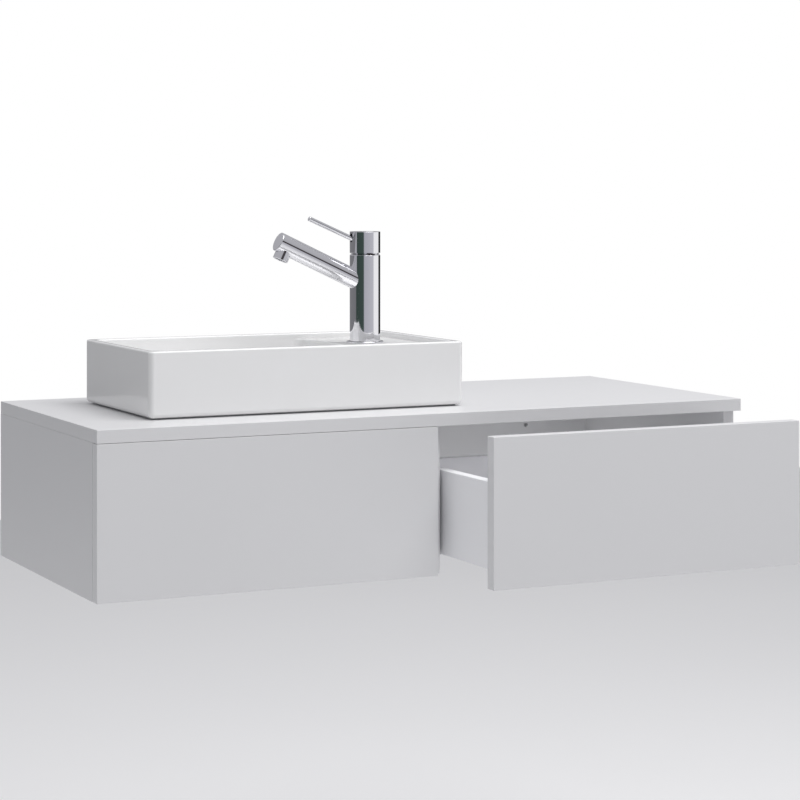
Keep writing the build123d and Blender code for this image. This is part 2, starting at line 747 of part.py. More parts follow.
with BuildPart() as aerator_housing:
    aerator_end = spout_diameter / 2 + aerator_drop
    rod(aerator_axis, aerator_diameter / 2, aerator_end)
    rod(spout_axis, spout_diameter / 2 + saddle_play, spout_length, mode=Mode.SUBTRACT)
    neck_start = spout_diameter / 2 - aerator_neck_length
    rod(aerator_axis.offset(neck_start), aerator_neck / 2, aerator_end - neck_start)
    flats = aerator_axis.offset(aerator_end - aerator_flat_height)
    with BuildSketch(flats):
        Circle(aerator_diameter)
        RegularPolygon(aerator_flat / 2, 8, major_radius=False, mode=Mode.SUBTRACT)
    extrude(amount=aerator_flat_height, mode=Mode.SUBTRACT)
    rod(aerator_axis, aerator_bore / 2, aerator_end, mode=Mode.SUBTRACT)

with BuildPart() as aerator_insert:
    insert_face = aerator_axis.offset(aerator_end - aerator_recess)
    rod(insert_face, aerator_bore / 2 - thread_play, -aerator_insert_height)
    with BuildSketch(insert_face):
        with PolarLocations(insert_slot_radius, insert_slot_count):
            Rectangle(*insert_slot)
    extrude(amount=-aerator_insert_height, mode=Mode.SUBTRACT)

# ---------------------------------------------------------------- tap: cartridge, cap and lever
cartridge_top = cap_bottom + cartridge_neck_top
nut_bottom = body_top - cartridge_nut_height

with BuildPart() as cartridge:
    body_height = nut_bottom - chamber_bottom
    rod(chamber, cartridge_diameter / 2, body_height)
    rod(upright_plane(tap_x, basin_y, nut_bottom), cartridge_neck / 2, cartridge_top - nut_bottom)
    socket = upright_plane(tap_x, basin_y, cartridge_top - stem_socket_depth)
    rod(socket, stem_diameter / 2 + bearing_play, stem_socket_depth, mode=Mode.SUBTRACT)

with BuildPart() as cartridge_nut:
    ring = upright_plane(tap_x, basin_y, nut_bottom)
    rod(ring, chamber_diameter / 2 - thread_play, cartridge_nut_height)
    rod(ring, cartridge_neck / 2 + thread_play, cartridge_nut_height, mode=Mode.SUBTRACT)

with BuildPart() as cartridge_stem:
    stem_bottom = cartridge_top - stem_socket_depth + bearing_play
    stem_end = deck + stem_top
    rod(upright_plane(tap_x, basin_y, stem_bottom), stem_diameter / 2, stem_end - stem_bottom)
    slot_half = stem_slot / 2
    slot_x = (tap_x - stem_diameter, tap_x + stem_diameter)
    slot_y = (basin_y - slot_half, basin_y + slot_half)
    block(slot_x, slot_y, (deck + stem_slot_floor, stem_end), mode=Mode.SUBTRACT)

cap_inner = tap_radius - cap_wall
slot_low = lever_pivot.Z + (cap_inner - lever_pivot_offset) * tan(radians(lever_angle))
slot_low -= lever_diameter / 2 / cos(radians(lever_angle)) + lever_slot_play
lifted = lever_angle + lever_lift
slot_high = lever_pivot.Z + (tap_radius - lever_pivot_offset) * tan(radians(lifted))
slot_high += lever_diameter / 2 / cos(radians(lifted)) + lever_slot_play

with BuildPart() as tap_cap:
    rod(upright_plane(tap_x, basin_y, cap_bottom), tap_radius, tap_top - cap_bottom)
    chamfer(tap_cap.faces().sort_by(Axis.Z)[0].edges(), split_chamfer)
    fillet(tap_cap.faces().sort_by(Axis.Z)[-1].edges(), cap_edge)
    cavity = upright_plane(tap_x, basin_y, cap_bottom + cap_floor)
    rod(cavity, cap_inner, tap_top - cap_top - cap_bottom - cap_floor, mode=Mode.SUBTRACT)
    bearing = upright_plane(tap_x, basin_y, cap_bottom)
    rod(bearing, cartridge_neck / 2 + bearing_play, cap_floor, mode=Mode.SUBTRACT)
    slot_face = Plane(
        origin=(tap_x - cap_inner + cut_overlap, basin_y, (slot_low + slot_high) / 2),
        x_dir=(0, 0, 1),
        z_dir=(-1, 0, 0),
    )
    with BuildSketch(slot_face):
        SlotOverall(slot_high - slot_low, lever_slot_width)
    extrude(amount=cut_overlap + cap_wall, mode=Mode.SUBTRACT)
    pin_half = (cap_inner**2 - lever_pivot_offset**2) ** 0.5 + pivot_pin_grip
    pin_start = Plane(origin=lever_pivot - Vector(0, pin_half, 0), z_dir=(0, 1, 0))
    rod(pin_start, pivot_pin_diameter / 2 + fixing_play / 2, 2 * pin_half, mode=Mode.SUBTRACT)

with BuildPart() as lever_pivot_pin:
    rod(pin_start.offset(fixing_play), pivot_pin_diameter / 2, 2 * (pin_half - fixing_play))

with BuildPart() as lever:
    rod(Plane(origin=lever_pivot, z_dir=lever_direction), lever_diameter / 2, lever_length)
    fillet(lever.faces().sort_by(Axis.X)[0].edges(), lever_end_round)
    rod(Plane(origin=lever_pivot, z_dir=-lever_direction), finger_diameter / 2, finger_length)
    knuckle = Plane(origin=lever_pivot - Vector(0, knuckle_width / 2, 0), z_dir=(0, 1, 0))
    rod(knuckle, knuckle_diameter / 2, knuckle_width)
    rod(knuckle, pivot_pin_diameter / 2 + bearing_play, knuckle_width, mode=Mode.SUBTRACT)

# ---------------------------------------------------------------- tap: clamp under the deck
deck_underside = deck - deck_thickness


def clamp_ring(top, thickness):
    """A horseshoe round the hoses, with a hole for the stud."""
    with BuildPart() as ring:
        rod(upright_plane(tap_x, basin_y, top), clamp_diameter / 2, -thickness)
        opening_x = (tap_x + clamp_opening_x, tap_x + clamp_diameter)
        opening_y = (basin_y - clamp_opening / 2, basin_y + clamp_opening / 2)
        block(opening_x, opening_y, (top - thickness, top), mode=Mode.SUBTRACT)
        hole = upright_plane(tap_x + stud_x, basin_y, top)
        rod(hole, stud_diameter / 2 + thread_play, -thickness, mode=Mode.SUBTRACT)
    return ring


tap_clamp_gasket = clamp_ring(deck_underside, gasket_thickness)
tap_clamp_plate = clamp_ring(deck_underside - gasket_thickness, clamp_thickness)

with BuildPart() as tap_stud:
    rod(stud_place.offset(stud_hold), stud_diameter / 2, -(stud_hold + stud_length))

with BuildPart() as tap_stud_nut:
    nut_face = deck_underside - gasket_thickness - clamp_thickness
    under_plate = upright_plane(tap_x + stud_x, basin_y, nut_face)
    hexagon_rod(under_plate, clamp_nut_flats, -clamp_nut_height)
    rod(under_plate, stud_diameter / 2 + thread_play, -clamp_nut_height, mode=Mode.SUBTRACT)

# ---------------------------------------------------------------- label and export
pieces = {
    **carcass,
    **left_drawer.pieces(),
    **right_drawer.pieces(),
    "runner_screws": runner_screws(),
    "basin": basin,
    "basin_seal": basin_seal,
    "waste_body": waste_body,
    "waste_plug": waste_plug,
    "waste_washer": waste_washer,
    "waste_nut": waste_nut,
    "waste_tail": waste_tail,
    "tap_base_ring": tap_base_ring,
    "tap_body": tap_body,
    "tap_spout": tap_spout,
    "aerator_housing": aerator_housing,
    "aerator_insert": aerator_insert,
    "cartridge": cartridge,
    "cartridge_nut": cartridge_nut,
    "cartridge_stem": cartridge_stem,
    "tap_cap": tap_cap,
    "lever_pivot_pin": lever_pivot_pin,
    "lever": lever,
    "tap_stud": tap_stud,
    "tap_clamp_gasket": tap_clamp_gasket,
    "tap_clamp_plate": tap_clamp_plate,
    "tap_stud_nut": tap_stud_nut,
}

for name, piece in pieces.items():
    piece.part.label = name
    export_step(piece.part, f"parts/{name}.step")
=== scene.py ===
"""A wall-hung bathroom vanity with a vessel basin and a pin-lever mixer tap, dressed for pictures.

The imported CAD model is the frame: every place comes from its boxes, and every piece rides on one of
its bodies. Boards, runners and most turned parts keep their exact CAD shape and get their finish
here. The basin, the tap's foot ring, spout and outlet, and the plug are modelled anew with bmesh.
"""
import logging
from dataclasses import dataclass, field
from enum import Enum
from math import cos, pi, radians, sin, tan, tau
from typing import Optional, Sequence

import bmesh
import bpy
from mathutils import Matrix, Vector


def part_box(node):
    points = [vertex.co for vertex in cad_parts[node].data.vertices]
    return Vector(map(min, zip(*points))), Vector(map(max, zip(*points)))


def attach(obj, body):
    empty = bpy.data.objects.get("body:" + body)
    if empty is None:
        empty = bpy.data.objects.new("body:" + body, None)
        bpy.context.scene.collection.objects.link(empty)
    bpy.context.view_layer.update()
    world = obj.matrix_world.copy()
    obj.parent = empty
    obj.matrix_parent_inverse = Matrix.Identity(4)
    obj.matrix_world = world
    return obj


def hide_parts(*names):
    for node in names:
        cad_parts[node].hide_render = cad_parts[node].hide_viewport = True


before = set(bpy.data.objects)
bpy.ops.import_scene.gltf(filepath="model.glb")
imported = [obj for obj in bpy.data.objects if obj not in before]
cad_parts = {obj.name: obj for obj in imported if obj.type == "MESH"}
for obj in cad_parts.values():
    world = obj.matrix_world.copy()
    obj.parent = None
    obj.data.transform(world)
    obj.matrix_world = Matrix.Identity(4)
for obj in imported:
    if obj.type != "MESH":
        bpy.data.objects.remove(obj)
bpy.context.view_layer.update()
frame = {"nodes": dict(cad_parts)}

logging.basicConfig(level=logging.INFO, format="%(message)s")
log = logging.getLogger("vanity")

MM = 0.001  # one millimetre in scene units
UP = Vector((0.0, 0.0, 1.0))


# ------------------------------------------------------------------------------------ finishes
def linear(hex_colour: str) -> tuple[float, float, float, float]:
    """Turn an sRGB hex colour into linear RGBA.

    Args:
        hex_colour: The colour as "#rrggbb".

    Returns:
        Red, green, blue and alpha, linear.
    """
    coded = [int(hex_colour[place:place + 2], 16) / 255 for place in (1, 3, 5)]
    plain = [c / 12.92 if c <= 0.04045 else ((c + 0.055) / 1.055) ** 2.4 for c in coded]
    return (plain[0], plain[1], plain[2], 1.0)


def add_node(
    tree: bpy.types.NodeTree,
    kind: str,
    settings: Optional[dict] = None,
    links: Optional[dict] = None,
) -> bpy.types.Node:
    """Add a node to a tree, set it up and link its inputs.

    Args:
        tree: The node tree.
        kind: The node's type, such as "ShaderNodeTexNoise".
        settings: Values by input name or number, or by property name.
        links: Output sockets by input name or number.

    Returns:
        The new node.
    """
    node = tree.nodes.new(kind)
    for key, value in (settings or {}).items():
        if isinstance(key, int) or key in node.inputs:
            node.inputs[key].default_value = value
        else:
            setattr(node, key, value)
    for key, source in (links or {}).items():
        tree.links.new(source, node.inputs[key])
    return node


class Pattern(Enum):
    """How the relief of a surface is laid out."""

    CLOUD = "even bumps with no direction"
    ROLLED = "fine lines along the rolling direction"
    CELLS = "grains with borders between them"


@dataclass(frozen=True)
class Finish:
    """A material: what it is, how its surface was made and how that meets the light.

    Colours are sRGB. Patch, grain and relief are millimetres on the real surface.
    """

    name: str
    light: str
    dark: str
    patch: float
    roughness: tuple[float, float]
    grain: float
    relief: float
    pattern: Pattern = Pattern.CLOUD
    metallic: float = 0.0
    ior: Optional[float] = None
    coat: float = 0.0
    coat_roughness: float = 0.03
    transmission: float = 0.0
    stretch: tuple[float, float, float] = (1.0, 1.0, 1.0)

    def make(self) -> bpy.types.Material:
        """Build the material's nodes.

        Returns:
            The material, ready to be put in a slot.
        """
        material = bpy.data.materials.new(self.name)
        material.use_nodes = True
        tree = material.node_tree
        tree.nodes.clear()
        place = add_node(tree, "ShaderNodeTexCoord").outputs["Object"]
        settings = {"Metallic": self.metallic, "Coat Weight": self.coat,
                    "Coat Roughness": self.coat_roughness, "Transmission Weight": self.transmission}
        if self.ior is not None:
            settings["IOR"] = self.ior
        grain = self.grain_height(tree, place)
        bump = add_node(tree, "ShaderNodeBump", {"Strength": 1.0, "Distance": self.relief * MM},
                        {"Height": grain})
        shader = add_node(tree, "ShaderNodeBsdfPrincipled", settings, {
            "Base Color": self.tone(tree, place),
            "Roughness": self.polish(tree, grain),
            "Normal": bump.outputs["Normal"],
        })
        add_node(tree, "ShaderNodeOutputMaterial", links={"Surface": shader.outputs["BSDF"]})
        return material

    def tone(self, tree: bpy.types.NodeTree, place: bpy.types.NodeSocket) -> bpy.types.NodeSocket:
        """Mix the two tones in slow patches.

        Args:
            tree: The material's tree.
            place: The point being shaded.

        Returns:
            The colour socket.
        """
        patches = add_node(tree, "ShaderNodeTexNoise", {"Scale": 1 / (self.patch * MM), "Detail": 3.0},
                           {"Vector": place})
        tones = {"data_type": "RGBA", 6: linear(self.dark), 7: linear(self.light)}
        blend = add_node(tree, "ShaderNodeMix", tones, {0: patches.outputs["Fac"]})
        return blend.outputs[2]

    def polish(self, tree: bpy.types.NodeTree, grain: bpy.types.NodeSocket) -> bpy.types.NodeSocket:
        """Let the roughness swing with the grain.

        Args:
            tree: The material's tree.
            grain: The relief's height, 0 to 1.

        Returns:
            The roughness socket.
        """
        ends = {"To Min": self.roughness[0], "To Max": self.roughness[1]}
        swing = add_node(tree, "ShaderNodeMapRange", ends, {"Value": grain})
        return swing.outputs["Result"]

    def grain_height(self, tree: bpy.types.NodeTree, place: bpy.types.NodeSocket) -> bpy.types.NodeSocket:
        """Lay out the relief in its own pattern.

        Args:
            tree: The material's tree.
            place: The point being shaded.

        Returns:
            The height socket, 0 to 1.
        """
        scale = 1 / (self.grain * MM)
        turned = add_node(tree, "ShaderNodeMapping", {"Scale": self.stretch}, {"Vector": place})
        if self.pattern is Pattern.CELLS:
            cells = add_node(tree, "ShaderNodeTexVoronoi", {"Scale": scale, "feature": "SMOOTH_F1"},
                             {"Vector": turned.outputs["Vector"]})
            return cells.outputs["Distance"]
        detail = 6.0 if self.pattern is Pattern.ROLLED else 2.0
        noise = add_node(tree, "ShaderNodeTexNoise", {"Scale": scale, "Detail": detail},
                         {"Vector": turned.outputs["Vector"]})
        return noise.outputs["Fac"]


# Sprayed satin lacquer on fibreboard: nearly even white, with a faint orange peel under a soft sheen.
LACQUER = Finish("satin_lacquered_board", "#e0e0e1", "#dededf", 180.0, (0.34, 0.40), 2.2, 0.004, ior=1.5)
# Melamine paper on chipboard: a drier, slightly cooler white than the lacquer.
MELAMINE = Finish("melamine_faced_board", "#fbfbfd", "#f8f8fa", 120.0, (0.42, 0.50), 1.1, 0.006, ior=1.5)
# Vitreous china under a fired glaze: the glaze pools in slow ripples over a smooth body.
CHINA = Finish("glazed_vitreous_china", "#f3f3f3", "#f0f0ef", 60.0, (0.16, 0.22), 14.0, 0.02, ior=1.52,
               coat=0.35, coat_roughness=0.05)
# Chrome plate on polished brass: a mirror whose last polishing marks only soften it.
CHROME = Finish("polished_chrome_plate", "#e9e9ec", "#e4e4e8", 25.0, (0.035, 0.06), 3.0, 0.0004,
                metallic=1.0)
# Zinc plating on cold-rolled sheet: bluish grey, with the mill's lines running along the runner.
ZINC_SHEET = Finish("zinc_plated_rolled_steel", "#c3c6c9", "#adb0b4", 18.0, (0.30, 0.42), 0.8, 0.004,
                    pattern=Pattern.ROLLED, metallic=1.0, stretch=(1.0, 0.05, 1.0))
# Die-cast zinc: a dull skin with the fine crystals of the cooled melt.
ZINC_CAST = Finish("die_cast_zinc", "#b4b6b8", "#9fa1a4", 6.0, (0.38, 0.50), 0.9, 0.01,
                   pattern=Pattern.CELLS, metallic=1.0)
# Drawn stainless wire, cut to a pin: drawing lines along its length.
DRAWN_PIN = Finish("drawn_stainless_pin", "#c9c7c4", "#bab8b5", 4.0, (0.20, 0.30), 0.3, 0.002,
                   pattern=Pattern.ROLLED, metallic=1.0, stretch=(1.0, 0.1, 1.0))
# Turned brass: yellow, with the tool's fine rings left on it.
TURNED_BRASS = Finish("turned_brass", "#d9b36a", "#c79f58", 12.0, (0.20, 0.32), 0.5, 0.003,
                      pattern=Pattern.ROLLED, metallic=1.0, stretch=(0.1, 0.1, 1.0))
# Moulded EPDM: a matt black with a talc bloom.
RUBBER = Finish("moulded_black_rubber", "#26272a", "#1d1e20", 8.0, (0.72, 0.85), 0.7, 0.02)
# Tooled sanitary silicone: translucent grey, smoothed with a wet finger.
SILICONE = Finish("tooled_grey_silicone", "#a9abad", "#9c9ea1", 30.0, (0.36, 0.46), 5.0, 0.03, ior=1.41)
# Cast polyurethane buttons: nearly clear, a little milky.
CLEAR_RUBBER = Finish("clear_polyurethane_button", "#f0f2f3", "#e6e9ea", 5.0, (0.10, 0.18), 1.0, 0.004,
                      ior=1.49, transmission=0.7)
# Injection-moulded polypropylene: waxy white with a fine spark-eroded texture.
POLYPROPYLENE = Finish("moulded_white_polypropylene", "#ecebe6", "#e5e4df", 25.0, (0.38, 0.46), 0.9, 0.012,
                       ior=1.49)
# Injection-moulded acetal: a slippery grey used for cartridges.
ACETAL = Finish("moulded_grey_acetal", "#83868b", "#777a7f", 10.0, (0.34, 0.44), 0.6, 0.008, ior=1.48)
# Painted studio floor: pale, matt and nearly featureless.
STUDIO_FLOOR = Finish("pale_studio_floor", "#fafafa", "#f7f7f7", 900.0, (0.75, 0.85), 40.0, 0.05)

FINISH_OF_SLOT: dict[str, Finish] = {
    "white_board": LACQUER,
    "drawer_board": MELAMINE,
    "basin_ceramic": CHINA,
    "chrome": CHROME,
    "zinc_steel": ZINC_SHEET,
    "zinc_cam": ZINC_CAST,
    "stainless_pin": DRAWN_PIN,
    "brass": TURNED_BRASS,
    "black_rubber": RUBBER,
    "grey_silicone": SILICONE,
    "clear_rubber": CLEAR_RUBBER,
    "white_plastic": POLYPROPYLENE,
    "grey_plastic": ACETAL,
}


class Palette:
    """The materials of the scene, each made once."""

    def __init__(self) -> None:
        """Start with no materials."""
        self.made: dict[str, bpy.types.Material] = {}

    def material(self, finish: Finish) -> bpy.types.Material:
        """Return the material of a finish, making it the first time."""
        if finish.name not in self.made:
            self.made[finish.name] = finish.make()
        return self.made[finish.name]

    def dress_frame(self, nodes: dict[str, bpy.types.Object]) -> None:
        """Give every CAD node the finish of its record slot.

        Args:
            nodes: The frame's nodes by name.
        """
        for name, node in sorted(nodes.items()):
            for place in node.material_slots:
                slot = place.material.name.split(".")[0]
                place.material = self.material(FINISH_OF_SLOT[slot])
            log.info("CAD node %s dressed", name)


# ------------------------------------------------------------------------------------ the bench
@dataclass(frozen=True)
class Section:
    """A level rounded rectangle, one step of a lofted wall.

    Attributes:
        x: Its span along the wall.
        y: Its span from front to back.
        level: Its height.
        corner: Its corner radius.
        rise: How much its right-hand end stands above the level.
    """

    x: tuple[float, float]
    y: tuple[float, float]
    level: float
    corner: float
    rise: float = 0.0


Loop = list[bmesh.types.BMEdge]


def quarter(steps: int) -> list[float]:
    """Angles from 0 to a right angle in equal steps."""
    return [pi / 2 * step / steps for step in range(steps + 1)]


class Workpiece:
    """A mesh on the bench, shaped by bmesh operators and then set in its place."""

    ARC_STEPS = 8  # edges in each rounded corner of a section
    SIDE_STEPS = 8  # edges in each straight side

    def __init__(self) -> None:
        """Start with an empty mesh."""
        self.mesh = bmesh.new()
        self.sharp = radians(32)  # edges that turn by more stay sharp

    def circle(self, centre: Vector, radius: float, steps: int = 64) -> Loop:
        """Draw a level circle."""
        made = bmesh.ops.create_circle(self.mesh, cap_ends=False, segments=steps, radius=radius,
                                       matrix=Matrix.Translation(centre))
        return self.edges_between(made["verts"])

    def edges_between(self, verts: Sequence[bmesh.types.BMVert]) -> Loop:
        """Find the edges whose two ends are both among these points, in the mesh's own order."""
        points = set(verts)
        return [edge for edge in self.mesh.edges if set(edge.verts) <= points]

    def section(self, plan: Section) -> Loop:
        """Draw a section as a closed loop of edges.

        Args:
            plan: The rounded rectangle.

        Returns:
            Its edges.
        """
        sheet = bmesh.new()
        corners = bmesh.ops.create_grid(sheet, x_segments=1, y_segments=1, size=0.5)["verts"]
        width, depth = plan.x[1] - plan.x[0], plan.y[1] - plan.y[0]
        bmesh.ops.scale(sheet, vec=(width, depth, 1.0), verts=corners)
        centre = Vector((sum(plan.x) / 2, sum(plan.y) / 2, plan.level))
        bmesh.ops.translate(sheet, vec=centre, verts=corners)
        bmesh.ops.bevel(sheet, geom=corners, offset=plan.corner, offset_type="OFFSET",
                        segments=self.ARC_STEPS, profile=0.5, affect="VERTICES", material=-1)
        bmesh.ops.delete(sheet, geom=sheet.faces[:], context="FACES_ONLY")
        sides = sorted(sheet.edges, key=lambda edge: -edge.calc_length())[:4]
        bmesh.ops.subdivide_edges(sheet, edges=sides, cuts=self.SIDE_STEPS - 1)
        raised = [point for point in sheet.verts if point.co.x > plan.x[1] - plan.corner - 0.1 * MM]
        bmesh.ops.translate(sheet, vec=UP * plan.rise, verts=raised)
        sheet.verts.index_update()
        points = [self.mesh.verts.new(point.co) for point in sheet.verts]
        loop = [self.mesh.edges.new([points[end.index] for end in edge.verts]) for edge in sheet.edges]
        sheet.free()
        return loop

    def loft(self, plans: Sequence[Section]) -> tuple[Loop, Loop]:
        """Join sections into one wall.

        Args:
            plans: The sections, in order.

        Returns:
            The first and the last loop.
        """
        loops = [self.section(plan) for plan in plans]
        for near, far in zip(loops, loops[1:]):
            self.bridge(near, far)
        return loops[0], loops[-1]

    def bridge(self, near: Loop, far: Loop) -> list[bmesh.types.BMFace]:
        """Join two loops with a band of faces."""
        return bmesh.ops.bridge_loops(self.mesh, edges=near + far)["faces"]

    def lift(self, loop: Loop, move: Vector) -> Loop:
        """Extrude a loop along a vector and return its far end."""
        made = bmesh.ops.extrude_edge_only(self.mesh, edges=loop)["geom"]
        points = [item for item in made if isinstance(item, bmesh.types.BMVert)]
        bmesh.ops.translate(self.mesh, vec=move, verts=points)
        return self.edges_between(points)

    def fill(self, *loops: Loop) -> None:
        """Close a flat region bounded by one loop and holed by the others."""
        edges = [edge for loop in loops for edge in loop]
        bmesh.ops.triangle_fill(self.mesh, edges=edges, use_beauty=True, normal=UP)

    def turn(self, profile: Sequence[tuple[float, float]], steps: int = 96) -> None:
        """Spin a half profile of (radius, height) points round Z into a closed ring."""
        points = [self.mesh.verts.new((radius, 0.0, height)) for radius, height in profile]
        lines = [self.mesh.edges.new(pair) for pair in zip(points, points[1:])]
        bmesh.ops.spin(self.mesh, geom=points + lines, cent=(0, 0, 0), axis=(0, 0, 1), dvec=(0, 0, 0),
                       angle=tau, steps=steps, use_merge=True, use_duplicate=False)

    def weld(self) -> None:
        """Merge doubled points and turn all faces outwards."""
        bmesh.ops.remove_doubles(self.mesh, verts=self.mesh.verts, dist=0.002 * MM)
        bmesh.ops.recalc_face_normals(self.mesh, faces=self.mesh.faces)

    def aim(self, origin: Vector, direction: Vector = UP) -> None:
        """Stand the work on a point, with its Z along a direction."""
        turned = UP.rotation_difference(direction).to_matrix().to_4x4()
        bmesh.ops.transform(self.mesh, matrix=Matrix.Translation(origin) @ turned, verts=self.mesh.verts)

    def cast(
        self,
        name: str,
        finish: Finish,
        body: str,
        stands_for: str,
    ) -> bpy.types.Object:
        """Turn the work into a finished piece that rides on a body.

        Args:
            name: The piece's name.
            finish: Its finish.
            body: The CAD body that it moves with.
            stands_for: The CAD node that it replaces.

        Returns:
            The new object.
        """
        self.weld()
        data = bpy.data.meshes.new(name)
        self.mesh.to_mesh(data)
        self.mesh.free()
        data.shade_smooth()
        data.set_sharp_from_angle(angle=self.sharp)
        data.materials.append(PALETTE.material(finish))
        piece = bpy.data.objects.new(name, data)
        bpy.context.scene.collection.objects.link(piece)
        even = piece.modifiers.new("even_normals", "WEIGHTED_NORMAL")
        even.keep_sharp = True
        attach(piece, body)
        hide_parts(stands_for)
        log.info("%s: %d faces, rides on %s", name, len(data.polygons), body)
        return piece


PALETTE = Palette()


def middle(node: str) -> Vector:
    """The centre of a CAD node's box."""
    low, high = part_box(node)
    return (low + high) / 2


# ------------------------------------------------------------------------------------ basin
@dataclass
class Basin:
    """The rectangular vessel basin: slip-cast walls, a sloping bowl and a tap deck at one end."""

    rim: float = 11.0 * MM
    corner: float = 7.5 * MM
    foot_round: float = 6.5 * MM
    rim_round: float = 3.0 * MM
    glaze_fall: float = 0.05 * MM  # how far the glaze sags across a flat ledge
    bowl_corner: float = 16.0 * MM
    bowl_taper: float = tan(radians(5))
    floor_round: float = 14.0 * MM
    floor_slope: float = 2.5 * MM
    deck_drop: float = 8.4 * MM
    deck_thickness: float = 12.0 * MM
    deck_left: float = 45.0 * MM
    deck_round: float = 3.0 * MM
    tap_hole: float = 17.5 * MM
    drain_hole: float = 23.0 * MM
    seat_play: float = 0.3 * MM
    seat_depth: float = 2.5 * MM
    hollow_corner: float = 6.0 * MM
    arc_steps: int = 5  # in the roundings of foot and rim
    deck_steps: int = 3
    floor_steps: int = 6
    low: Vector = field(default_factory=lambda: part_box("basin")[0])
    high: Vector = field(default_factory=lambda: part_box("basin")[1])
    tap: Vector = field(default_factory=lambda: middle("tap_base_ring"))
    drain: Vector = field(default_factory=lambda: middle("waste_body"))

    def inset(self, by: float, level: float, corner: float) -> Section:
        """A section of the whole basin, moved in from its sides."""
        x = (self.low.x + by, self.high.x - by)
        y = (self.low.y + by, self.high.y - by)
        return Section(x, y, level, corner)

    def bowl(self, by: float, right: float, level: float, rise: float = 0.0) -> Section:
        """A section of the bowl.

        Args:
            by: How far its wall stands in from the bowl's mouth.
            right: Its right-hand side.
            level: Its height.
            rise: How far its right-hand end stands above that.

        Returns:
            The section.
        """
        side = self.rim + by
        corner = max(self.bowl_corner - by, self.bowl_corner / 3)
        y = (self.low.y + side, self.high.y - side)
        return Section((self.low.x + side, right), y, level, corner, rise)

    def shell(self) -> list[Section]:
        """The outer wall from the foot to the rim, over it and down to the deck."""
        arc = quarter(self.arc_steps)
        foot, lip = self.foot_round, self.rim_round
        brow = self.high.z - self.glaze_fall
        plans = []
        for a in arc:
            by = foot * (1 - sin(a))
            plans.append(self.inset(by, self.low.z + foot * (1 - cos(a)), self.corner - by))
        for a in arc:
            by = lip * (1 - cos(a))
            plans.append(self.inset(by, brow - lip * (1 - sin(a)), self.corner - by))
        for a in arc:
            out = lip * (1 - sin(a))
            level = self.high.z - lip * (1 - cos(a))
            plans.append(self.inset(self.rim - out, level, self.bowl_corner + out))
        plans.append(self.inset(self.rim, self.deck, self.bowl_corner))
        return plans

    @property
    def deck(self) -> float:
        """The height of the tap deck."""
        return self.high.z - self.deck_drop

    @property
    def bowl_right(self) -> float:
        """The right-hand side of the bowl, where the deck begins."""
        return self.tap.x - self.deck_left

    @property
    def floor(self) -> float:
        """The height of the bowl's floor at the drain."""
        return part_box("waste_body")[1].z

    def bowl_walls(self) -> list[Section]:
        """The bowl from the deck's rounded edge down to the edge of its floor."""
        edge = self.deck_round
        plans = []
        for a in quarter(self.deck_steps):
            drop = edge * (1 - cos(a))
            right = self.bowl_right + edge * (1 - sin(a))
            level = self.deck - edge - drop
            plans.append(self.bowl((self.deck - level) * self.bowl_taper, right, level, rise=edge))
        floor_edge = self.floor + self.floor_slope
        for a in quarter(self.floor_steps):
            level = floor_edge + self.floor_round * (1 - sin(a))
            by = (self.deck - level) * self.bowl_taper + self.floor_round * (1 - cos(a))
            plans.append(self.bowl(by, self.bowl_right - by, level))
        return plans

    def hollow(self) -> Section:
        """The hollow under the deck, where hoses and clamp sit."""
        side = self.rim
        x = (self.bowl_right + side, self.high.x - side)
        y = (self.low.y + side, self.high.y - side)
        return Section(x, y, self.deck - self.deck_thickness, self.hollow_corner)

    def cut_deck(self, work: Workpiece, hole: Loop) -> None:
        """Fill the deck afresh, with the tap hole in it.

        Args:
            work: The basin's mesh.
            hole: The hole's circle.
        """
        flat = {face for face in work.mesh.faces
                if all(abs(point.co.z - self.deck) < 0.01 * MM for point in face.verts)}
        edges = [edge for edge in work.mesh.edges if flat.intersection(edge.link_faces)]
        rungs = [edge for edge in edges if set(edge.link_faces) <= flat]
        border = [edge for edge in edges if not set(edge.link_faces) <= flat]
        bmesh.ops.delete(work.mesh, geom=rungs, context="EDGES_FACES")
        work.fill(border, hole)

    def build(self) -> bpy.types.Object:
        """Model the basin in one closed skin."""
        work = Workpiece()
        foot, inner_wall = work.loft(self.shell())
        mouth, floor_edge = work.loft(self.bowl_walls())
        work.bridge(inner_wall, mouth)
        deck_hole = work.circle(Vector((self.tap.x, self.tap.y, self.deck)), self.tap_hole)
        self.cut_deck(work, deck_hole)
        ceiling_hole = work.lift(deck_hole, -UP * self.deck_thickness)
        ceiling = work.section(self.hollow())
        work.fill(ceiling, ceiling_hole)
        hollow_foot = work.lift(ceiling, UP * (self.low.z - self.deck + self.deck_thickness))
        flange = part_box("waste_body")
        seat_radius = self.seat_play + (flange[1].x - flange[0].x) / 2
        over_drain = Vector((self.drain.x, self.drain.y, self.floor))
        seat = work.circle(over_drain, seat_radius)
        work.bridge(floor_edge, seat)
        seat_floor = work.lift(seat, -UP * self.seat_depth)
        ledge = self.floor - self.seat_depth - self.glaze_fall
        bore = work.circle(Vector((self.drain.x, self.drain.y, ledge)), self.drain_hole)
        work.bridge(seat_floor, bore)
        bore_foot = work.lift(bore, UP * (self.low.z - ledge))
        work.fill(foot, hollow_foot, bore_foot)
        return work.cast("vessel_basin", CHINA, "cabinet", "basin")


